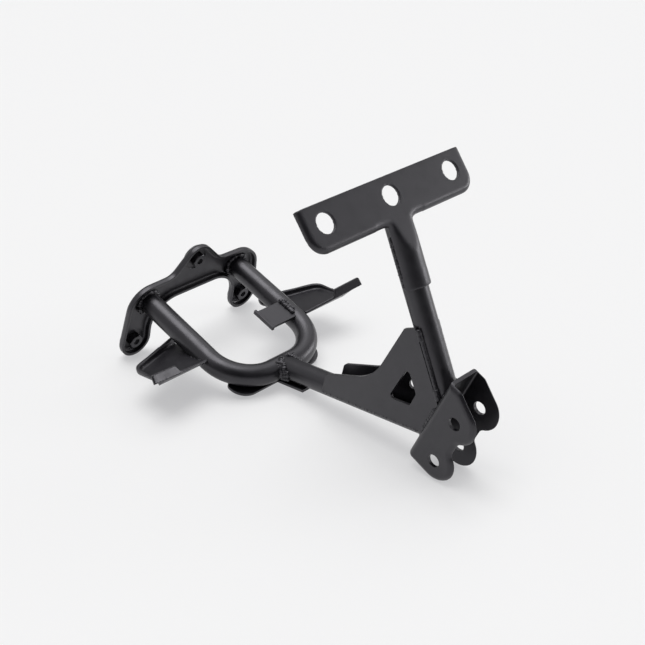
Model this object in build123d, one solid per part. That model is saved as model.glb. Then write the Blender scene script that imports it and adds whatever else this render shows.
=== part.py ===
from build123d import *
import math
import os

# Welded headlight bracket, in millimetres and degrees.
# The origin is the middle of the upper clevis bolt.
# +X points to the rear of the motorcycle, +Y across it and +Z up.

# Tubes and sheet
tube_d = 16.0
tube_wall = 1.6
sheet = 2.0
bend_r = 3.5
bead = 2.0

# Clevis: one folded channel, its web leaning back
clevis_lean = 24.5
clevis_sheet = 2.5
clevis_gap = 22.0
clevis_bend_r = 4.0
bolt_hole_d = 9.0
bolt_spacing = 37.5
lower_bolt_set = 1.4
web_set = 16.5
web_top = 21.5
ear_top_width = 9.5
ear_top_r = 5.0
upper_lobe_r = 15.4
lower_lobe_r = 15.0
notch_set = 8.6
notch_r = 5.0
heel_r = 4.0

# Riser tube and tee plate
riser_lean = 24.1
riser_cross_x = -14.2
tee_lean = 37.2
tee_hole_x = -68.0
tee_hole_z = 124.9
tee_hole_pitch = 55.0
tee_hole_d = 13.0
tee_width = 142.0
tee_above = 12.3
tee_below = 16.3
tee_corner_r = 11.0
tee_lip = 4.2
neck_r = 8.0
neck_length = 8.5
stem_drop = 43.0
riser_top_gap = 13.0

# Loop tube and link tube
loop_back_x = -165.6
loop_back_z = -36.5
loop_rise = 17.8
leg_set = 10.5
loop_bend_r = 32.0
link_rise = 6.4

# Gusset cheeks
gusset_margin = 16.0
gusset_edge_past_riser = 0.0
gusset_top = 50.5
gusset_slope = 61.9
gusset_top_width = 9.5
gusset_tip_x = -116.5
gusset_tip_height = 15.2
gusset_tip_slope = 20.5
gusset_tip_r = 4.0
gusset_hollow_r = 42.0
cutout_r = 2.5

# Front plate and its weld nuts
plate_lean = 15.0
plate_x = -273.0
plate_depth = 6.0
lobe_r = 12.8
nut_spacing = 105.0
top_nut_height = 54.5
shoulder_half = 59.5
shoulder_height = 47.0
shoulder_r = 20.0
valley_half = 23.0
valley_height = 48.0
valley_r = 12.0
arch_height = 29.0
arch_r = 22.0
dimple_d = 18.0
dimple_depth = 1.0
nut_flats = 10.0
nut_height = 5.5
nut_bore_d = 5.0
plate_hole_d = 7.0

# Side wings: pressed pans on the legs, the left one the mirror image of the right
pan_rear_x = -192.0
pan_rear_z = -25.0
pan_tilt = 8.0
pan_width = 47.5
pan_root_front = 45.0
pan_end_front = 27.8
pan_corner_r = 8.0
pan_root_flange = 4.8
pan_end_flange = 3.8
pan_end_rear = 1.0
ramp_tilt = 44.4
ramp_root = 1.5
ramp_end = 12.0
tongue_start = 33.0
tongue_step = 3.5
tongue_reach = 59.0
tongue_height = 6.9
tongue_lean = 31.0
tongue_corner_r = 2.0

# Clip tab on the right leg
tab_height = 5.0
tab_free_end = 13.0
tab_back = 28.5
tab_width = 18.5
tab_lip = 3.0
tab_hook = 1.2

# Stiffener under the loop's bend
pad_half = 41.0
pad_back = -4.5
pad_front = 13.0
pad_corner_r = 13.0
pad_front_r = 4.0
pad_tongue_length = 27.0
pad_tongue_width = 15.0

# Weld beads
tack_length = 7.0
tack_inset = 3.0
saddle_weld_angle = 45.0

far = 400.0
tolerance = 0.01
tube_r = tube_d / 2
leg_half = nut_spacing / 2 - leg_set


def sin_deg(angle):
    return math.sin(math.radians(angle))


def cos_deg(angle):
    return math.cos(math.radians(angle))


def side_frame(x, z, lean_back):
    """Frame for side profiles: local X to the rear, local Y up the lean, normal to -Y."""
    rear = (cos_deg(lean_back), 0, -sin_deg(lean_back))
    return Plane(origin=(x, 0, z), x_dir=rear, z_dir=(0, -1, 0))


def cross_frame(x, z, normal_rise):
    """Frame seen along the bracket: local X to +Y, normal to the rear, raised by an angle."""
    normal = (cos_deg(normal_rise), 0, sin_deg(normal_rise))
    return Plane(origin=(x, 0, z), x_dir=(0, 1, 0), z_dir=normal)


def half_space(frame):
    """Everything on the normal side of a frame."""
    return extrude(frame * Rectangle(2 * far, 2 * far), far)


def crossing(point_a, angle_a, point_b, angle_b):
    """Crossing of two lines in the side view, each a point and an angle above +X."""
    ax, az = cos_deg(angle_a), sin_deg(angle_a)
    bx, bz = cos_deg(angle_b), sin_deg(angle_b)
    dx, dz = point_b[0] - point_a[0], point_b[1] - point_a[1]
    reach = (dx * bz - dz * bx) / (ax * bz - az * bx)
    return (point_a[0] + reach * ax, point_a[1] + reach * az)


def shifted(point, angle, offset):
    """Point moved square to a line, to the left of its direction."""
    return (point[0] - offset * sin_deg(angle), point[1] + offset * cos_deg(angle))


def rod(frame, radius, start, end):
    """Solid bar along a frame's normal."""
    return extrude(frame.offset(start) * Circle(radius), end - start)


def round_at(face, points, radius):
    """Fillet the corners of a flat face that lie at given points."""
    places = [(v, (v.X, v.Y)) for v in face.vertices()]
    return fillet([v for v, at in places if any(math.dist(at, p) < tolerance for p in points)], radius)


def side_bead(start, end, y):
    """Round bar between two points of the side view, at a distance from the middle plane."""
    first = Vector(start[0], y, start[1])
    last = Vector(end[0], y, end[1])
    return extrude(Plane(origin=first, z_dir=last - first) * Circle(bead), (last - first).length)


def along(start, end, distance):
    """Point of the side view at a distance from start towards end."""
    share = distance / math.dist(start, end)
    return (start[0] + share * (end[0] - start[0]), start[1] + share * (end[1] - start[1]))


def seam_ring(frame, direction):
    """Round bar along the oval where a tube in a given direction meets a plane."""
    slant = abs(frame.z_dir.dot(Vector(direction)))
    oval = Edge.make_ellipse(tube_r, tube_r / slant, frame)
    return sweep(Plane(origin=oval @ 0, z_dir=oval % 0) * Circle(bead), oval)


def tangent_point(centre, radius, outside, turn):
    """Point where a line from outside touches a circle, on the side given by turn."""
    dx, dy = outside[0] - centre[0], outside[1] - centre[1]
    angle = math.atan2(dy, dx) - turn * math.acos(radius / math.hypot(dx, dy))
    return (centre[0] + radius * math.cos(angle), centre[1] + radius * math.sin(angle))


# Frames that the pieces share
clevis_frame = side_frame(0, 0, clevis_lean)
web_angle = 90 - clevis_lean
web_point = clevis_frame.from_local_coords((-web_set, 0, 0))
web_point = (web_point.X, web_point.Z)
web_front = cross_frame(web_point[0], web_point[1], -clevis_lean)
lower_bolt = clevis_frame.from_local_coords((lower_bolt_set, -bolt_spacing, 0))
floor_z = lower_bolt.Z - lower_lobe_r

riser_angle = 90 + riser_lean
riser_point = (riser_cross_x, 0)
riser_foot = crossing(riser_point, riser_angle, web_point, web_angle)
riser_dir = (cos_deg(riser_angle), 0, sin_deg(riser_angle))
riser_frame = Plane(origin=(riser_foot[0], 0, riser_foot[1]), x_dir=(0, 1, 0), z_dir=riser_dir)
tee_frame = cross_frame(tee_hole_x, tee_hole_z, tee_lean)

link_point = (loop_back_x, loop_back_z)
link_end = crossing(link_point, link_rise, web_point, web_angle)
link_length = math.dist(link_point, link_end)
link_dir = (cos_deg(link_rise), 0, sin_deg(link_rise))
link_frame = Plane(origin=(loop_back_x, 0, loop_back_z), x_dir=(0, 1, 0), z_dir=link_dir)
loop_frame = cross_frame(loop_back_x, loop_back_z, 90 - loop_rise)

pan_frame = cross_frame(pan_rear_x, pan_rear_z, 90 + pan_tilt)
plate_z = floor_z + lobe_r * cos_deg(plate_lean) + plate_depth * sin_deg(plate_lean)
plate_frame = cross_frame(plate_x, plate_z, -plate_lean)

# The tee's neck ends where its face is as wide as the flat left on the stem
neck_low = -tee_below - neck_length
neck_depth = -riser_frame.to_local_coords(tee_frame.from_local_coords((0, neck_low, 0))).Y
neck_half = math.sqrt((tube_r + sheet) ** 2 - neck_depth ** 2)
stem_low = riser_frame.to_local_coords(tee_frame.from_local_coords((0, -tee_below - stem_drop, 0))).Z

# Corners of the gusset cheeks in the side view
riser_edge = shifted(riser_point, riser_angle, -gusset_edge_past_riser)
gusset_crest = crossing(riser_point, riser_angle, (0, gusset_top), 0)
gusset_top_rear = crossing(gusset_crest, riser_lean, riser_edge, riser_angle)
gusset_front_line = shifted(riser_point, riser_angle, gusset_top_width)
gusset_top_front = crossing(gusset_crest, riser_lean, gusset_front_line, riser_angle)
gusset_foot = crossing(riser_edge, riser_angle, web_point, web_angle)
gusset_tip = crossing(link_point, link_rise, (gusset_tip_x, 0), 90)

# Plain bars that stand for the tubes when other pieces are cut to them
riser_end = tee_frame.from_local_coords((0, -riser_top_gap, 0))
riser_length = riser_frame.to_local_coords(riser_end).Z
riser_bar = rod(riser_frame, tube_r, -tube_d, riser_length)
link_bar = rod(link_frame, tube_r, 0, link_length + tube_d)
loop_path = loop_frame * FilletPolyline(
    (-leg_half, far / 2), (-leg_half, 0), (leg_half, 0), (leg_half, far / 2), radius=loop_bend_r
)
loop_start = Plane(origin=loop_path @ 0, z_dir=loop_path % 0)
loop_bar = sweep(loop_start * Circle(tube_r), loop_path)
back_bar = extrude(loop_frame * Plane.YZ * Circle(tube_r), leg_half, both=True)
leg_frame = Plane(loop_frame.from_local_coords((leg_half, 0, 0)), z_dir=loop_frame.y_dir)
leg_bar = rod(leg_frame, tube_r, 0, far / 2)
below_link = extrude(link_frame * Pos(0, -far / 2) * Rectangle(far, far), far, both=True)
behind_web = half_space(web_front)
behind_tee = half_space(tee_frame.offset(-sheet))
ahead_of_plate = half_space(Plane(plate_frame.offset(sheet).origin, z_dir=-plate_frame.z_dir))


def fold(solid, web_side, radius):
    """Round the long edges of the clevis web that lie at one side of it."""
    long_edges = solid.edges().filter_by(Axis((0, 0, 0), tuple(clevis_frame.y_dir)))
    depths = [(e, clevis_frame.to_local_coords(e.center()).X) for e in long_edges]
    return fillet([e for e, depth in depths if abs(depth - web_side) < tolerance], radius)


def make_clevis():
    """Folded channel with two lobed ears, holes for two bolts and a notch between the lobes."""
    half = clevis_gap / 2 + clevis_sheet
    lower = (lower_bolt_set, -bolt_spacing)
    top_corner = (-web_set + ear_top_width, web_top)
    heel = (-web_set, -bolt_spacing - lower_lobe_r)
    ear = make_face(Polyline(
        (-web_set, web_top), top_corner, tangent_point((0, 0), upper_lobe_r, top_corner, 1),
        (notch_set, 0), (notch_set, -bolt_spacing), (lower_bolt_set, heel[1]), heel, close=True
    ))
    ear += Circle(upper_lobe_r)
    ear += Pos(*lower) * Circle(lower_lobe_r)
    notch = [v for v in ear.vertices() if abs(v.X - notch_set) < tolerance and -bolt_spacing < v.Y < 0]
    ear = fillet(notch, notch_r)
    ear = round_at(ear, [top_corner], ear_top_r)
    ear = round_at(ear, [heel], heel_r)
    block = fold(extrude(clevis_frame * ear, half, both=True), -web_set, clevis_bend_r)
    inside = -web_set + clevis_sheet
    slot = extrude(clevis_frame * Pos(inside + far / 2, 0) * Rectangle(far, far), clevis_gap / 2, both=True)
    slot = fold(slot, inside, clevis_bend_r - clevis_sheet)
    holes = Circle(bolt_hole_d / 2) + Pos(*lower) * Circle(bolt_hole_d / 2)
    return block - slot - extrude(clevis_frame * holes, 2 * half, both=True)


def make_riser():
    """Upright tube, mitred to the clevis web and scarfed under the tee plate."""
    bore = rod(riser_frame, tube_r - tube_wall, -tube_d, riser_length)
    return riser_bar - bore - behind_web - behind_tee


def tee_outline(inset):
    """Tee shape drawn on its face; an inset leaves the top edge open."""
    half = tee_width / 2 - inset
    stem = neck_half - inset
    top = tee_above + (far if inset else 0)
    low = -tee_below + inset
    corners = [(half, low), (-half, low)]
    necks = [(stem, low), (-stem, low)]
    outline = make_face(Polyline(
        (-half, top), (half, top), corners[0], necks[0], (stem, neck_low),
        (-stem, neck_low), necks[1], corners[1], close=True
    ))
    outline = round_at(outline, corners, tee_corner_r - inset)
    return round_at(outline, necks, neck_r + inset)


def make_tee():
    """Pressed tee: turned lips on three sides, three holes and a stem rolled half round the riser."""
    outer = extrude(tee_frame * tee_outline(0), -tee_lip)
    face = outer.faces().sort_by(lambda f: tee_frame.to_local_coords(f.center()).Z)[-1]
    middles = [(e, tee_frame.to_local_coords(e.center()).Y) for e in face.edges()]
    outer = fillet([e for e, y in middles if neck_low + tolerance < y < tee_above - tolerance], bend_r)
    tray = outer - extrude(tee_frame.offset(-sheet) * tee_outline(sheet), -far)
    stem = rod(riser_frame, tube_r + sheet, stem_low, riser_length)
    rear_half = extrude(riser_frame * Pos(0, -far / 2) * Rectangle(far, far), far)
    stem = (stem & rear_half) - half_space(tee_frame)
    holes = Circle(tee_hole_d / 2)
    holes += Pos(-tee_hole_pitch, 0) * Circle(tee_hole_d / 2)
    holes += Pos(tee_hole_pitch, 0) * Circle(tee_hole_d / 2)
    return tray + stem - (riser_bar - behind_tee) - extrude(tee_frame * holes, far, both=True)


def make_loop():
    """U-bent tube, its legs cut square to the back of the front plate."""
    bore = sweep(loop_start * Circle(tube_r - tube_wall), loop_path)
    return loop_bar - bore - ahead_of_plate


def make_link():
    """Straight tube, saddled on the loop and mitred to the clevis web."""
    bore = rod(link_frame, tube_r - tube_wall, 0, link_length + tube_d)
    return link_bar - bore - behind_web - loop_bar


def make_gusset(side):
    """Flat cheek between riser, link and clevis, with a cut-out held to an even margin."""
    tip_high = (gusset_tip_x + tube_r / 2, gusset_tip[1] + gusset_tip_height)
    hollow = crossing(tip_high, gusset_tip_slope, gusset_top_front, gusset_slope)
    outline = make_face(Polyline(
        gusset_tip, tip_high, hollow, gusset_top_front, gusset_top_rear, gusset_foot, link_end, close=True
    ))
    outline = round_at(outline, [hollow], gusset_hollow_r)
    outline = round_at(outline, [tip_high], gusset_tip_r)
    upper = shifted(gusset_top_front, gusset_slope, -gusset_margin)
    lower = shifted(link_point, link_rise, gusset_margin)
    rear = shifted(web_point, web_angle, gusset_margin)
    above = shifted(riser_edge, riser_angle, gusset_margin)
    window = make_face(Polyline(
        crossing(upper, gusset_slope, lower, link_rise),
        crossing(lower, link_rise, rear, web_angle),
        crossing(rear, web_angle, above, riser_angle),
        crossing(above, riser_angle, upper, gusset_slope),
        close=True
    ))
    window = fillet(window.vertices(), cutout_r)
    inner_face = side_frame(0, 0, 0).offset(-side * tube_r)
    return extrude(inner_face * (outline - window), -side * sheet)


def plate_outline():
    """Front plate seen from the rear: three lobes, two shoulders and an arch below."""
    nut_half = nut_spacing / 2
    valley = (valley_half, valley_height)
    shoulder = (shoulder_half, shoulder_height)
    arch = (nut_half - lobe_r, arch_height)
    right_side = [
        tangent_point((0, top_nut_height), lobe_r, valley, -1),
        valley,
        shoulder,
        tangent_point((nut_half, 0), lobe_r, shoulder, 1),
        (nut_half, 0),
        (arch[0], 0),
        arch,
    ]
    left_side = [(-x, y) for x, y in reversed(right_side)]
    shape = make_face(Polyline(*right_side, *left_side, close=True))
    shape += Pos(0, top_nut_height) * Circle(lobe_r)
    shape += Pos(nut_half, 0) * Circle(lobe_r)
    shape += Pos(-nut_half, 0) * Circle(lobe_r)
    shape = round_at(shape, [shoulder, (-shoulder[0], shoulder[1])], shoulder_r)
    shape = round_at(shape, [valley, (-valley[0], valley[1])], valley_r)
    return round_at(shape, [arch, (-arch[0], arch[1])], arch_r)


nut_places = [(-nut_spacing / 2, 0), (0, top_nut_height), (nut_spacing / 2, 0)]


def dish(outline, start, radius):
    """Solid of the front plate's outline, rearward from a depth, its front edges rounded."""
    solid = extrude(plate_frame.offset(start) * outline, plate_depth)
    front = solid.faces().sort_by(lambda f: plate_frame.to_local_coords(f.center()).Z)[0]
    return fillet(front.edges(), radius)


plate_hollow = dish(offset(plate_outline(), -sheet), sheet, bend_r - sheet)


def make_front_plate():
    """Dished pressing with its rim turned back and a dimpled hole on each lobe."""
    plate = dish(plate_outline(), 0, bend_r) - plate_hollow
    for x, y in nut_places:
        spot = plate_frame * Pos(x, y)
        plate += extrude(spot * Circle(dimple_d / 2 + sheet / 2), -dimple_depth)
        plate -= extrude(spot * Pos(0, 0, sheet - dimple_depth) * Circle(dimple_d / 2), plate_depth)
        plate -= extrude(spot * Circle(plate_hole_d / 2), plate_depth, both=True)
    return plate


def make_weld_nuts():
    """Hexagon nuts in the dimples of the front plate, their crowns turned round."""
    body = RegularPolygon(nut_flats / 2, 6, major_radius=False) - Circle(nut_bore_d / 2)
    on_seat = (Align.CENTER, Align.CENTER, Align.MIN)
    nut = extrude(body, nut_height) & Cone(nut_flats / 2 + nut_height, nut_flats / 2, nut_height, align=on_seat)
    seat = sheet - dimple_depth
    return Compound(children=[plate_frame * Pos(x, y, seat) * nut for x, y in nut_places])


def bend_edges(solid, base, radius):
    """Round the front and outer edges of a pan's lower face."""
    floor = solid.faces().sort_by(lambda f: base.to_local_coords(f.center()).Z)[0]
    middles = [(e, base.to_local_coords(e.center())) for e in floor.edges()]
    return fillet([e for e, p in middles if p.X > leg_half + sheet and p.Y > sheet], radius)


def make_pan():
    """Floor of the right wing with its front flange, which runs out round the end."""
    reach = leg_half + pan_width
    corner = (reach, pan_end_front)
    outline = make_face(Polyline((leg_half, 0), (reach, 0), corner, (leg_half, pan_root_front), close=True))
    outline = round_at(outline, [corner], pan_corner_r)
    block = bend_edges(extrude(pan_frame * outline, sheet + pan_root_flange), pan_frame, bend_r)
    hollow = extrude(pan_frame.offset(sheet) * Pos(-sheet, -sheet) * outline, far)
    pan = block - bend_edges(hollow, pan_frame.offset(sheet), bend_r - sheet)
    side = Plane(origin=pan_frame.origin, x_dir=pan_frame.y_dir, z_dir=pan_frame.x_dir)
    rims = make_face(Polyline(
        (0, 0), (far, 0), (far, sheet + pan_root_flange), (pan_root_front, sheet + pan_root_flange),
        (pan_end_front, sheet + pan_end_flange), (0, sheet + pan_end_rear), close=True
    ))
    return pan & extrude(side * rims, far)


def make_wing():
    """Pan of the right wing, its rear ramp and the tongue that stands on the ramp."""
    reach = leg_half + pan_width
    ramp_face = (-sin_deg(ramp_tilt), 0, cos_deg(ramp_tilt))
    ramp_frame = Plane(origin=pan_frame.origin, x_dir=(0, 1, 0), z_dir=ramp_face)
    ramp = make_face(Polyline(
        (leg_half, 0), (reach, 0), (reach, -ramp_end), (leg_half, -ramp_root), close=True
    ))
    rim_root = ramp_frame.from_local_coords((leg_half, -ramp_root, 0))
    rim_line = ramp_frame.from_local_coords((reach, -ramp_end, 0)) - rim_root
    tongue_up = Vector(-sin_deg(tongue_lean), 0, cos_deg(tongue_lean))
    tongue_frame = Plane(origin=rim_root, x_dir=rim_line, z_dir=rim_line.cross(tongue_up))
    tip = (tongue_reach, tongue_height)
    tongue = make_face(Polyline(
        (tongue_start, 0), (tongue_reach, 0), tip, (tongue_start + tongue_step, tongue_height),
        (tongue_start, sheet), close=True
    ))
    tongue = extrude(tongue_frame * round_at(tongue, [tip], tongue_corner_r), -sheet)
    return make_pan() + extrude(ramp_frame * ramp, sheet) + tongue - loop_bar


def make_clip_tab():
    """Flat tab from the right leg into the loop, with a raised lip that hooks past its sides."""
    base = loop_frame.offset(tab_height)
    middle = tab_back + tab_width / 2
    length = leg_half - tab_free_end
    tab = extrude(base * Pos(tab_free_end + length / 2, middle) * Rectangle(length, tab_width), sheet)
    lip = Pos(tab_free_end + sheet / 2, middle) * Rectangle(sheet, tab_width + 2 * tab_hook)
    return tab + extrude(base * lip, tab_lip) - loop_bar


def make_pad():
    """Stiffener under the bend of the loop, its tongue running back under the link tube."""
    rear = [(-pad_half, pad_back), (pad_half, pad_back)]
    front = [(pad_half, pad_front), (-pad_half, pad_front)]
    strip = make_face(Polyline(*rear, *front, close=True))
    strip = round_at(strip, rear, pad_corner_r)
    strip = round_at(strip, front, pad_front_r)
    pad = extrude(loop_frame.offset(-tube_r) * strip, -sheet)
    tongue = Pos(0, -tube_r - sheet / 2) * Rectangle(pad_tongue_width, sheet)
    pad += extrude(link_frame * tongue, pad_tongue_length)
    return pad - link_bar - loop_bar


def leg_bead(x, height, start, end):
    """Round bar beside a leg, placed by the loop's own axes."""
    first = loop_frame.from_local_coords((x, start, height))
    return extrude(Plane(origin=first, z_dir=loop_frame.y_dir) * Circle(bead), end - start)


def both_sides(solid):
    """A solid and its mirror image across the middle plane."""
    return Compound(children=[solid, mirror(solid, Plane.XZ)])


clevis = make_clevis()
tee = make_tee()
front_plate = make_front_plate()
gussets = {"left": make_gusset(-1), "right": make_gusset(1)}
right_wing = make_wing()
wings = {"left": mirror(right_wing, Plane.XZ), "right": right_wing}
clip_tab = make_clip_tab()
pad = make_pad()


def make_riser_foot_weld():
    """Bead round the rear of the riser where it lands on the clevis web."""
    foot = Plane(origin=(riser_foot[0], 0, riser_foot[1]), x_dir=(0, 1, 0), z_dir=web_front.z_dir)
    behind_riser = extrude(riser_frame * Pos(0, -far / 2) * Rectangle(far, far), far, both=True)
    ring = seam_ring(foot, riser_dir) & behind_riser
    return ring - riser_bar - clevis - gussets["left"] - gussets["right"]


def make_link_clevis_weld():
    """Bead round the underside of the link where it lands on the clevis web."""
    foot = Plane(origin=(link_end[0], 0, link_end[1]), x_dir=(0, 1, 0), z_dir=web_front.z_dir)
    ring = seam_ring(foot, link_dir) & below_link
    return ring - link_bar - clevis - gussets["left"] - gussets["right"]


def make_link_loop_weld():
    """Beads in the two flanks of the saddle between the link and the loop.

    Two equal tubes at right angles cross in flat ovals, at 45 degrees to both.
    """
    flank = (Vector(link_dir) + Vector(0, 1, 0)).normalized()
    oval_frame = Plane(origin=link_frame.origin, x_dir=flank, z_dir=flank.cross(link_frame.y_dir))
    oval = Edge.make_ellipse(
        tube_r * math.sqrt(2),
        tube_r,
        oval_frame,
        start_angle=-saddle_weld_angle,
        end_angle=saddle_weld_angle,
    )
    bar = sweep(Plane(origin=oval @ 0, z_dir=oval % 0) * Circle(bead), oval)
    return both_sides(bar - link_bar - back_bar)


def make_leg_plate_welds():
    """Bead round the end of each leg on the back of the front plate."""
    back = plate_frame.offset(sheet)
    line = loop_frame.y_dir
    reach = (back.origin - loop_frame.origin).dot(back.z_dir) / line.dot(back.z_dir)
    end = loop_frame.origin + line * reach + Vector(0, leg_half, 0)
    ring = seam_ring(Plane(origin=end, x_dir=(0, 1, 0), z_dir=back.z_dir), line)
    return both_sides((ring & plate_hollow) - leg_bar)


def make_gusset_clevis_welds():
    """Upright beads between the cheeks and the clevis web."""
    low = along(link_end, gusset_foot, 2 * bead)
    high = along(gusset_foot, link_end, 2 * bead)
    return both_sides(side_bead(low, high, tube_r + sheet) - clevis - gussets["right"])


def make_gusset_link_welds():
    """Long beads under the lower edges of the cheeks."""
    end = along(link_end, gusset_tip, 2 * bead)
    return both_sides((side_bead(gusset_tip, end, tube_r + sheet / 2) & below_link) - link_bar)


def make_gusset_riser_tacks():
    """Short beads at the top and foot of each seam between cheek and riser."""
    tacks = []
    seam_top = along(gusset_top_rear, gusset_foot, tack_inset)
    seam_foot = along(gusset_foot, gusset_top_rear, tack_inset + 2 * bead)
    for start, last in ((seam_top, seam_foot), (seam_foot, seam_top)):
        end = along(start, last, tack_length)
        tack = side_bead(start, end, tube_r + sheet / 2) - riser_bar - gussets["right"]
        tacks.append(tack.solids().sort_by(SortBy.VOLUME)[-1])
    return Compound(children=[*tacks, *[mirror(t, Plane.XZ) for t in tacks]])


def make_tee_stem_welds():
    """Beads along the edges of the tee's half-round stem."""
    start = riser_frame.offset(stem_low + tack_inset) * Pos(tube_r + sheet / 2, 0)
    neck = riser_frame.to_local_coords(tee_frame.from_local_coords((0, neck_low, 0))).Z
    return both_sides(extrude(start * Circle(bead), neck - stem_low - tack_inset) - riser_bar - tee)


def make_tab_weld():
    """Bead on top of the clip tab against the right leg."""
    top = tab_height + sheet
    side = leg_half - math.sqrt(tube_r ** 2 - top ** 2)
    return leg_bead(side, top, loop_bend_r, tab_back + tab_width) - leg_bar - clip_tab


def make_wing_welds():
    """Bead along the oval where the floor of each pan meets its leg."""
    top = pan_frame.offset(sheet)
    share = (top.origin - leg_frame.origin).dot(top.z_dir) / leg_frame.z_dir.dot(top.z_dir)
    centre = leg_frame.origin + leg_frame.z_dir * share
    ring = seam_ring(Plane(origin=centre, x_dir=(0, 1, 0), z_dir=top.z_dir), leg_frame.z_dir)
    ahead = pan_frame * Pos(leg_half + tube_r / 2 + far / 2, 2 * bead + far / 2) * Rectangle(far, far)
    bar = (ring & extrude(ahead, far, both=True)) - leg_bar - right_wing
    return both_sides(bar.solids().sort_by(SortBy.VOLUME)[-1])


os.makedirs("parts", exist_ok=True)
pieces = {
    "clevis_bracket": clevis,
    "riser_tube": make_riser(),
    "tee_plate": tee,
    "loop_tube": make_loop(),
    "link_tube": make_link(),
    "gusset_left": gussets["left"],
    "gusset_right": gussets["right"],
    "front_plate": front_plate,
    "weld_nuts": make_weld_nuts(),
    "wing_left": wings["left"],
    "wing_right": wings["right"],
    "clip_tab": clip_tab,
    "loop_pad": pad,
    "riser_foot_weld": make_riser_foot_weld(),
    "link_clevis_weld": make_link_clevis_weld(),
    "link_loop_weld": make_link_loop_weld(),
    "leg_plate_welds": make_leg_plate_welds(),
    "gusset_clevis_welds": make_gusset_clevis_welds(),
    "gusset_link_welds": make_gusset_link_welds(),
    "gusset_riser_tacks": make_gusset_riser_tacks(),
    "tee_stem_welds": make_tee_stem_welds(),
    "tab_weld": make_tab_weld(),
    "wing_welds": make_wing_welds(),
}
for name, piece in pieces.items():
    export_step(piece, "parts/" + name + ".step")
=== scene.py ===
import math

import bpy
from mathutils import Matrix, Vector


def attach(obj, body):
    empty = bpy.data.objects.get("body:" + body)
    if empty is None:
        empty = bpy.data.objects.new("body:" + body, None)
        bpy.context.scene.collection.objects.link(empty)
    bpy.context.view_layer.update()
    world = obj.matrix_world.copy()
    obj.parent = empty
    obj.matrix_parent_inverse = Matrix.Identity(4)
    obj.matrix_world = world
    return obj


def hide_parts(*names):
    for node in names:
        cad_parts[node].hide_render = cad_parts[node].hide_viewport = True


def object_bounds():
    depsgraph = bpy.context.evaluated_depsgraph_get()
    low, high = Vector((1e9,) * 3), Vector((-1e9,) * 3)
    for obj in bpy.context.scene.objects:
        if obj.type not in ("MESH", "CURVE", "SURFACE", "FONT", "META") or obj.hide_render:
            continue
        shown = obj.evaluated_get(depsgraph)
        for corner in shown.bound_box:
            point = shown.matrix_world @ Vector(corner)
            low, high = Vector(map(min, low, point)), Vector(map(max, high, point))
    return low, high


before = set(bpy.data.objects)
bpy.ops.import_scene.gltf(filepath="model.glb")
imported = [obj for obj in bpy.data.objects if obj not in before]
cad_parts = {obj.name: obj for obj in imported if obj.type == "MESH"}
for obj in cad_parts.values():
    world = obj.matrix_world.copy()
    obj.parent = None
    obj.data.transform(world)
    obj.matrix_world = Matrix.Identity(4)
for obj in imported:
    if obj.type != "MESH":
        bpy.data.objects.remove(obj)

cad_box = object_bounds()

# Clevis bracket: one folded channel of 2.5 mm steel with two bolt holes through both ears.
# Like every piece here it is sprayed satin black over bare steel, with a fine orange peel.
# The film is thinner along cut edges, where it has rubbed a little paler.


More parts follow.
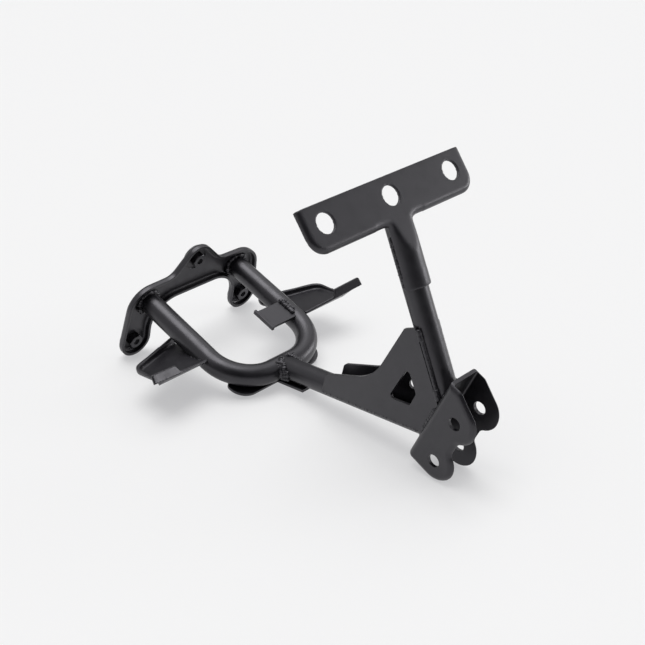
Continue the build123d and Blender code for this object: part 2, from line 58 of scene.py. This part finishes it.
def satin_black(name, dark, pale, rough_low, rough_high, peel_scale, peel_strength):
    """Sprayed satin black: mottled tone and gloss, orange peel, and rubbed edges."""
    finish = bpy.data.materials.new(name)
    finish.use_nodes = True
    nodes = finish.node_tree.nodes
    links = finish.node_tree.links
    shader = nodes["Principled BSDF"]
    shader.inputs["IOR"].default_value = 1.6
    shader.inputs["Specular Tint"].default_value = (0.95, 0.93, 1.0, 1.0)
    place = nodes.new("ShaderNodeTexCoord")

    cloud = nodes.new("ShaderNodeTexNoise")
    cloud.inputs["Scale"].default_value = 70.0
    cloud.inputs["Detail"].default_value = 5.0
    links.new(place.outputs["Object"], cloud.inputs["Vector"])
    tone = nodes.new("ShaderNodeValToRGB")
    tone.color_ramp.elements[0].position = 0.3
    tone.color_ramp.elements[0].color = (*dark, 1.0)
    tone.color_ramp.elements[1].position = 0.7
    tone.color_ramp.elements[1].color = (*pale, 1.0)
    links.new(cloud.outputs["Fac"], tone.inputs["Fac"])

    soft_edge = nodes.new("ShaderNodeBevel")
    soft_edge.samples = 6
    soft_edge.inputs["Radius"].default_value = 0.0006
    flat = nodes.new("ShaderNodeNewGeometry")
    turn = nodes.new("ShaderNodeVectorMath")
    turn.operation = "DOT_PRODUCT"
    links.new(soft_edge.outputs["Normal"], turn.inputs[0])
    links.new(flat.outputs["Normal"], turn.inputs[1])
    edge = nodes.new("ShaderNodeMapRange")
    edge.inputs["From Min"].default_value = 0.985
    edge.inputs["From Max"].default_value = 0.80
    links.new(turn.outputs["Value"], edge.inputs["Value"])
    patch = nodes.new("ShaderNodeTexNoise")
    patch.inputs["Scale"].default_value = 160.0
    patch.inputs["Detail"].default_value = 6.0
    links.new(place.outputs["Object"], patch.inputs["Vector"])
    spotty = nodes.new("ShaderNodeMapRange")
    spotty.inputs["From Min"].default_value = 0.45
    spotty.inputs["From Max"].default_value = 0.75
    links.new(patch.outputs["Fac"], spotty.inputs["Value"])
    rub = nodes.new("ShaderNodeMath")
    rub.operation = "MULTIPLY"
    links.new(edge.outputs["Result"], rub.inputs[0])
    links.new(spotty.outputs["Result"], rub.inputs[1])
    worn = nodes.new("ShaderNodeMix")
    worn.data_type = "RGBA"
    worn.inputs["B"].default_value = (0.045, 0.044, 0.048, 1.0)
    links.new(rub.outputs["Value"], worn.inputs["Factor"])
    links.new(tone.outputs["Color"], worn.inputs["A"])
    links.new(worn.outputs["Result"], shader.inputs["Base Color"])

    gloss = nodes.new("ShaderNodeMapRange")
    gloss.inputs["From Min"].default_value = 0.3
    gloss.inputs["From Max"].default_value = 0.7
    gloss.inputs["To Min"].default_value = rough_low
    gloss.inputs["To Max"].default_value = rough_high
    links.new(patch.outputs["Fac"], gloss.inputs["Value"])
    links.new(gloss.outputs["Result"], shader.inputs["Roughness"])

    peel = nodes.new("ShaderNodeTexNoise")
    peel.inputs["Scale"].default_value = peel_scale
    peel.inputs["Detail"].default_value = 3.0
    links.new(place.outputs["Object"], peel.inputs["Vector"])
    relief = nodes.new("ShaderNodeBump")
    relief.inputs["Strength"].default_value = peel_strength
    relief.inputs["Distance"].default_value = 0.0002
    links.new(peel.outputs["Fac"], relief.inputs["Height"])
    links.new(soft_edge.outputs["Normal"], relief.inputs["Normal"])
    links.new(relief.outputs["Normal"], shader.inputs["Normal"])
    return finish


def spray(node, finish):
    """Give every face of a CAD piece one finish."""
    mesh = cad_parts[node].data
    mesh.materials.clear()
    mesh.materials.append(finish)


sheet_black = satin_black(
    "satin_black_sheet", dark=(0.0085, 0.0081, 0.0101), pale=(0.0118, 0.0113, 0.0138),
    rough_low=0.31, rough_high=0.41, peel_scale=900.0, peel_strength=0.10,
)
spray("clevis_bracket", sheet_black)

# Riser: the straight upright, 16 mm drawn steel tube with a 1.6 mm wall.
# It is mitred to the clevis web and capped by the tee plate that is rolled half round its top.
# The film lies a little smoother and glossier on drawn tube than on cut sheet.
tube_black = satin_black(
    "satin_black_tube", dark=(0.0078, 0.0075, 0.0093), pale=(0.0110, 0.0105, 0.0128),
    rough_low=0.29, rough_high=0.39, peel_scale=700.0, peel_strength=0.08,
)
spray("riser_tube", tube_black)

# Tee plate: a 2 mm steel pressing with turned lips and three plain holes for the gauge mount.
# Its stem is rolled half round the riser and flows into the flat, and is welded down both sides.
# The press leaves round bends along the lips and a smooth swell where the stem begins.
pressing_voxel = 0.0005
merge_distance = 0.00001
tee_middle = Vector((-0.0680, 0.0, 0.1249))
tee_up = Vector((-0.6046, 0.0, 0.7965))
swell_bottom, swell_top, swell_half_width = -0.048, -0.0085, 0.021
lip_top, lip_reach = -0.012, 0.066
lip_rounding = 0.14


def tee_bends(spot):
    """How far the press rounds a spot of the tee: most at the stem's swell, less on the lips."""
    height = (spot - tee_middle).dot(tee_up)
    if swell_bottom < height < swell_top and abs(spot.y) < swell_half_width:
        return 1.0
    if height < lip_top or abs(spot.y) > lip_reach:
        return lip_rounding
    return 0.0


def start_piece(name, mesh):
    """Put a new piece at the origin, selected alone and ready for edit mode."""
    bpy.ops.object.select_all(action="DESELECT")
    piece = bpy.data.objects.new(name, mesh)
    bpy.context.collection.objects.link(piece)
    piece.select_set(True)
    bpy.context.view_layer.objects.active = piece
    return piece


def shape_by(piece, kind, **settings):
    """Add one modifier with these settings to the active piece and apply it."""
    modifier = piece.modifiers.new(kind.lower(), kind)
    for setting, value in settings.items():
        setattr(modifier, setting, value)
    bpy.ops.object.modifier_apply(modifier=modifier.name)


def soften_pressing(name, node, bends, passes):
    """Copy a CAD pressing, fuse it into one even skin and round the bends as the press leaves them."""
    pressing = start_piece(name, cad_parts[node].data.copy())
    bpy.ops.object.mode_set(mode="EDIT")
    bpy.ops.mesh.select_all(action="SELECT")
    bpy.ops.mesh.remove_doubles(threshold=merge_distance)
    bpy.ops.object.mode_set(mode="OBJECT")
    shape_by(pressing, "REMESH", mode="VOXEL", voxel_size=pressing_voxel)
    rounded = pressing.vertex_groups.new(name="bends")
    for vertex in pressing.data.vertices:
        rounded.add([vertex.index], bends(vertex.co), "REPLACE")
    shape_by(pressing, "SMOOTH", factor=0.5, iterations=passes, vertex_group=rounded.name)
    shape_by(pressing, "SMOOTH", factor=0.5, iterations=1)
    pressing.vertex_groups.clear()
    bpy.ops.object.shade_smooth()
    pressing.data.materials.clear()
    pressing.data.materials.append(sheet_black)
    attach(pressing, "root")
    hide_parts(node)


soften_pressing("tee_pressing", "tee_plate", tee_bends, passes=90)

# Link and loop: the same 16 mm steel tube, the link straight and the loop bent to a U.
# The link is coped round the back of the loop's bend and welded to the clevis web at its other end.
spray("link_tube", tube_black)
spray("loop_tube", tube_black)

# Gusset cheeks: two flat 2 mm steel blanks with a cut-out, one each side of the riser and link.
# They lie tangent to both tubes and are welded along them and to the clevis web.
spray("gusset_left", sheet_black)
spray("gusset_right", sheet_black)

# Stiffener pad and clip tab: flat pieces cut from 2 mm steel sheet.
# The pad is welded under the loop's bend, with a tongue under the link.
# The tab is welded inside the right leg, to hold a harness clip.
spray("loop_pad", sheet_black)
spray("clip_tab", sheet_black)

# Side wings: two pressed steel pans, mirror images, each with a flange round its front and end.
# A tongue is turned up at the rear of each, and the pan's floor is welded to the leg above it.


def wing_bends(spot):
    """The press rounds a wing alike all over."""
    return 1.0


for wing_side in ("left", "right"):
    soften_pressing(f"wing_{wing_side}_pressing", f"wing_{wing_side}", wing_bends, passes=5)

# Front plate and nuts: a dished three-lobed steel pressing that carries the lamp.
# Both legs of the loop are welded to its back, and a hexagon nut is welded in the dimple of each lobe.
spray("front_plate", sheet_black)
spray("weld_nuts", sheet_black)

# Weld beads: steel laid by hand along each seam, in overlapping ripples, and sprayed with the rest.
# The riser's foot is welded round its rear half to the clevis web.
# Seams and ripple radii are in millimetres, and angles in degrees.
mm_per_m = 1000.0
bead_voxel = 0.0003
ripple_thin = 0.62
swell_size, swell_pace = 0.13, 2.4
flutter_size, flutter_pace, flutter_start = 0.09, 5.3, 1.0
drift_size, drift_pace = 0.15, 3.7
both_sides = (-1, 1)


def straight_seam(start, end, ripples):
    """Ripple places and torch direction along a straight seam."""
    first, last = Vector(start) / mm_per_m, Vector(end) / mm_per_m
    along = (last - first).normalized()
    return [(first.lerp(last, k / (ripples - 1)), along) for k in range(ripples)]


def oval_seam(centre, across, up, begin, finish, ripples):
    """The same round part of an oval, given by its centre, two half-axes and the angles it runs between."""
    middle, wide, tall = (Vector(v) / mm_per_m for v in (centre, across, up))
    seam = []
    for k in range(ripples):
        turn = math.radians(begin + (finish - begin) * k / (ripples - 1))
        place = middle + wide * math.cos(turn) + tall * math.sin(turn)
        seam.append((place, (tall * math.cos(turn) - wide * math.sin(turn)).normalized()))
    return seam


def lay_bead(name, node, runs, uneven=1.0, dressing=2):
    """Stack flattened ripples along each run's seam, fuse them into one bead, dress and paint it."""
    bead = start_piece(name, bpy.data.meshes.new(name))
    bpy.ops.object.mode_set(mode="EDIT")
    for seam, ripple_r in runs:
        for k, (place, along) in enumerate(seam):
            swell = swell_size * math.sin(swell_pace * k)
            flutter = flutter_size * math.sin(flutter_pace * k + flutter_start)
            radius = ripple_r / mm_per_m * (1.0 + uneven * (swell + flutter))
            drift = drift_size * uneven * ripple_r / mm_per_m * math.sin(drift_pace * k)
            bpy.ops.mesh.primitive_uv_sphere_add(
                segments=10, ring_count=7, radius=radius, location=place + Vector((0.0, 0.0, drift)),
                rotation=along.to_track_quat("Z", "Y").to_euler(), scale=(1.0, 1.0, ripple_thin),
            )
    bpy.ops.object.mode_set(mode="OBJECT")
    shape_by(bead, "REMESH", mode="VOXEL", voxel_size=bead_voxel)
    shape_by(bead, "SMOOTH", factor=0.5, iterations=dressing)
    bpy.ops.object.shade_smooth()
    bead.data.materials.append(weld_black)
    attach(bead, "root")
    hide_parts(node)


weld_black = satin_black(
    "satin_black_weld", dark=(0.0085, 0.0081, 0.0101), pale=(0.0128, 0.0123, 0.0148),
    rough_low=0.30, rough_high=0.42, peel_scale=500.0, peel_strength=0.30,
)
riser_foot_seam = oval_seam((-16.15, 0.0, 4.35), (0.0, 8.2, 0.0), (4.42, 0.0, 9.70), 6.0, 174.0, 24)
lay_bead("riser_foot_bead", "riser_foot_weld", [(riser_foot_seam, 1.9)])

# Link to clevis: the same hand-laid steel bead, round the lower half of the link's end.
# The upper half is closed in between the gusset cheeks and has none.
link_foot_seam = oval_seam((-27.72, 0.0, -21.03), (0.0, 8.2, 0.0), (3.87, 0.0, 8.48), 186.0, 354.0, 22)
lay_bead("link_clevis_bead", "link_clevis_weld", [(link_foot_seam, 1.8)])

# Link to loop: a short, heavy and uneven steel bead in each flank of the saddle behind the bend.
# Shorter passes were laid before and behind it, and the pad closes the underside.
saddle_runs = []
for side in both_sides:
    flank, rise = (7.95, side * 8.0, 0.89), (-0.9, 0.0, 7.95)
    saddle_runs += [
        (oval_seam((-165.6, 0.0, -36.5), flank, rise, -40.0, 66.0, 15), 2.2),
        (oval_seam((-162.9, 0.0, -36.2), flank, rise, -38.0, 48.0, 9), 2.1),
        (oval_seam((-160.0, 0.0, -35.9), flank, rise, -34.0, 12.0, 5), 1.8),
        (oval_seam((-167.6, side * 2.0, -36.7), flank, rise, -20.0, 46.0, 7), 2.1),
    ]
lay_bead("link_loop_beads", "link_loop_weld", saddle_runs)

# Legs to front plate: a ring of steel bead round the end of each leg, on the back of the plate.
# Heavier stops show where the torch was lifted: outside and on top of the left leg,
# and inside and on top of the right one.
leg_y = 42.0
left_stops = ((195.0, 235.0), (70.0, 95.0))
right_stops = ((175.0, 205.0), (45.0, 80.0))
ring_runs = []
for side, stops in zip(both_sides, (left_stops, right_stops)):
    ring = oval_seam((-262.3, side * leg_y, -5.4), (0.0, 8.3, 0.0), (2.15, 0.0, 8.0), 0.0, 351.0, 38)
    ring_runs.append((ring, 1.9))
    for begin, end in stops:
        stop = oval_seam((-261.2, side * leg_y, -5.7), (0.0, 9.0, 0.0), (2.33, 0.0, 8.7), begin, end, 5)
        ring_runs.append((stop, 2.1))
lay_bead("leg_plate_beads", "leg_plate_welds", ring_runs)

# Gussets to clevis and link: long steel runs along the edges of the two cheeks.
# Those along the link lie almost flush with the sheet.
cheek_face_y = 10.0
lay_bead("gusset_clevis_beads", "gusset_clevis_welds", [
    (straight_seam((-26.06, side * cheek_face_y, -17.39), (-17.81, side * cheek_face_y, 0.72), 16), 1.5)
    for side in both_sides
])
link_run_y = 8.9
lay_bead("gusset_link_beads", "gusset_link_welds", [
    (straight_seam((-116.0, side * link_run_y, -31.3), (-31.7, side * link_run_y, -21.9), 66), 1.3)
    for side in both_sides
])

# Gussets to riser: a thin, even steel run closes the groove beside each cheek's rear edge.
# It starts and ends in a tack, heaviest at the foot, and the left cheek has the larger one on top.
riser_run_y, top_tack_y, foot_tack_y = 8.3, 9.0, 8.7
riser_runs = []
for side, top_tack_r in zip(both_sides, (1.9, 1.4)):
    riser_runs += [
        (straight_seam((-34.3, side * riser_run_y, 47.4), (-16.7, side * riser_run_y, 7.6), 60), 1.7),
        (straight_seam((-35.1, side * top_tack_y, 49.0), (-32.71, side * top_tack_y, 43.6), 6), top_tack_r),
        (straight_seam((-19.3, side * foot_tack_y, 13.0), (-17.0, side * foot_tack_y, 7.9), 6), 2.3),
    ]
lay_bead("gusset_riser_beads", "gusset_riser_tacks", riser_runs, uneven=0.2, dressing=8)

# Tee stem: a steel bead down each side of the rolled stem, where it ends on the riser.
# It is laid from the stem's lower end up to the tee's shoulder.
stem_edge_y = 8.9
lay_bead("tee_stem_beads", "tee_stem_welds", [
    (straight_seam((-47.37, side * stem_edge_y, 74.14), (-59.86, side * stem_edge_y, 102.08), 24), 1.5)
    for side in both_sides
])

# Clip tab: one heavy steel bead along the tab's root, on the inside of the right leg.
# A second, shorter pass runs beside it on the crown of the tube.
tab_root_y, tab_crown_y = 38.0, 40.0
lay_bead("tab_bead", "tab_weld", [
    (straight_seam((-194.4, tab_root_y, -19.4), (-207.7, tab_root_y, -15.1), 13), 1.9),
    (straight_seam((-195.6, tab_crown_y, -17.6), (-204.8, tab_crown_y, -14.6), 8), 1.4),
])

# Wings to legs: a thin steel bead outside each leg, where the pan's floor cuts across the tube.
# It lies in the crease under the leg, and is mostly out of sight.
wing_runs = []
for side in both_sides:
    outward, forward = (0.0, side * 8.1, 0.0), (-18.2, 0.0, -2.56)
    wing_runs.append((oval_seam((-202.93, side * leg_y, -25.6), outward, forward, -20.0, 58.0, 18), 1.2))
lay_bead("wing_beads", "wing_welds", wing_runs)

# Floor: a plain pale studio table that the bracket stands on, not part of it.
# A share of its white is its own, so that the shadows stay as light as in a bright room.
floor_size = 40.0
floor_height = cad_box[0][2]
own_white_share = 0.48
bpy.ops.object.select_all(action="DESELECT")
bpy.ops.mesh.primitive_plane_add(size=floor_size, location=(0.0, 0.0, 0.0))
floor = bpy.context.object
floor.name = "studio_floor"
bpy.ops.object.mode_set(mode="EDIT")
bpy.ops.mesh.select_all(action="SELECT")
bpy.ops.transform.translate(value=(0.0, 0.0, floor_height))
bpy.ops.object.mode_set(mode="OBJECT")
floor_paint = bpy.data.materials.new("studio_white")
floor_paint.use_nodes = True
floor_nodes = floor_paint.node_tree.nodes
floor_links = floor_paint.node_tree.links
floor_shader = floor_nodes["Principled BSDF"]
floor_shader.inputs["Base Color"].default_value = (0.83, 0.83, 0.82, 1.0)
floor_shader.inputs["Roughness"].default_value = 0.9
floor_shader.inputs["Specular IOR Level"].default_value = 0.1
glow = floor_nodes.new("ShaderNodeEmission")
glow.inputs["Color"].default_value = (0.905, 0.905, 0.925, 1.0)
glow.inputs["Strength"].default_value = 1.0
ray = floor_nodes.new("ShaderNodeLightPath")
seen = floor_nodes.new("ShaderNodeMath")
seen.operation = "MAXIMUM"
floor_links.new(ray.outputs["Is Camera Ray"], seen.inputs[0])
floor_links.new(ray.outputs["Is Glossy Ray"], seen.inputs[1])
seen_through = floor_nodes.new("ShaderNodeMath")
seen_through.operation = "MAXIMUM"
floor_links.new(seen.outputs["Value"], seen_through.inputs[0])
floor_links.new(ray.outputs["Is Transmission Ray"], seen_through.inputs[1])
share = floor_nodes.new("ShaderNodeMath")
share.operation = "MULTIPLY"
share.inputs[1].default_value = own_white_share
floor_links.new(seen_through.outputs["Value"], share.inputs[0])
white = floor_nodes.new("ShaderNodeMixShader")
floor_links.new(share.outputs["Value"], white.inputs["Fac"])
floor_links.new(floor_shader.outputs["BSDF"], white.inputs[1])
floor_links.new(glow.outputs["Emission"], white.inputs[2])
floor_links.new(white.outputs["Shader"], floor_nodes["Material Output"].inputs["Surface"])
floor.data.materials.append(floor_paint)

# Light: one wide overhead softbox in a pale room, with a narrow bright panel to the right rear.
# A faint glow is high on the right, towards the front.
# The room is dim to the rear left, behind the camera, and to the front right.
softbox_aim = Vector((0.17, -0.02, -0.98))
softbox = bpy.data.objects.new("overhead_softbox", bpy.data.lights.new("overhead_softbox", "SUN"))
softbox.data.energy = 1.7
softbox.data.angle = math.radians(44.0)
softbox.rotation_euler = softbox_aim.to_track_quat("-Z", "Y").to_euler()
bpy.context.collection.objects.link(softbox)

room = bpy.data.worlds.new("white_room")
bpy.context.scene.world = room
room.use_nodes = True
room_nodes = room.node_tree.nodes
room_links = room.node_tree.links
walls = room_nodes["Background"]
walls.inputs["Color"].default_value = (1.0, 1.0, 1.0, 1.0)
towards = room_nodes.new("ShaderNodeTexCoord")


def lit_side(aim, edge_dot, core_dot, edge_value, core_value, before=None):
    """Add a part of the room that goes from edge_value to core_value towards one side."""
    side = room_nodes.new("ShaderNodeVectorMath")
    side.operation = "DOT_PRODUCT"
    side.inputs[1].default_value = aim
    room_links.new(towards.outputs["Generated"], side.inputs[0])
    level = room_nodes.new("ShaderNodeMapRange")
    level.interpolation_type = "SMOOTHSTEP"
    level.inputs["From Min"].default_value = edge_dot
    level.inputs["From Max"].default_value = core_dot
    level.inputs["To Min"].default_value = edge_value
    level.inputs["To Max"].default_value = core_value
    room_links.new(side.outputs["Value"], level.inputs["Value"])
    if before is None:
        return level.outputs["Result"]
    total = room_nodes.new("ShaderNodeMath")
    total.operation = "ADD"
    room_links.new(before, total.inputs[0])
    room_links.new(level.outputs["Result"], total.inputs[1])
    return total.outputs["Value"]


dim_rear_left = (0.807, -0.565, 0.174)
bright_panel = (0.50, 0.865, 0.02)
high_glow = (-0.27, 0.58, 0.77)
dim_front_right = (-0.811, 0.568, 0.139)
room_light = lit_side(dim_rear_left, edge_dot=0.35, core_dot=0.88, edge_value=0.60, core_value=0.02)
room_light = lit_side(bright_panel, 0.93, 0.985, edge_value=0.0, core_value=5.0, before=room_light)
room_light = lit_side(high_glow, 0.82, 0.97, edge_value=0.0, core_value=0.5, before=room_light)
room_light = lit_side(dim_front_right, 0.78, 0.95, edge_value=0.0, core_value=-0.42, before=room_light)
room_links.new(room_light, walls.inputs["Strength"])

# Camera: a short telephoto, above and to the rear left of the bracket.
# Its place was solved from the bracket's own holes and edges.
eye_aim = Vector((-0.6126, 0.6152, -0.4962))
eye = bpy.data.objects.new("studio_camera", bpy.data.cameras.new("studio_camera"))
eye.data.lens = 65.09
eye.data.sensor_width = 36.0
eye.location = (0.3530, -0.4805, 0.4023)
eye.rotation_euler = eye_aim.to_track_quat("-Z", "Y").to_euler()
bpy.context.collection.objects.link(eye)
bpy.context.scene.camera = eye

bpy.context.scene.view_settings.view_transform = "Standard"
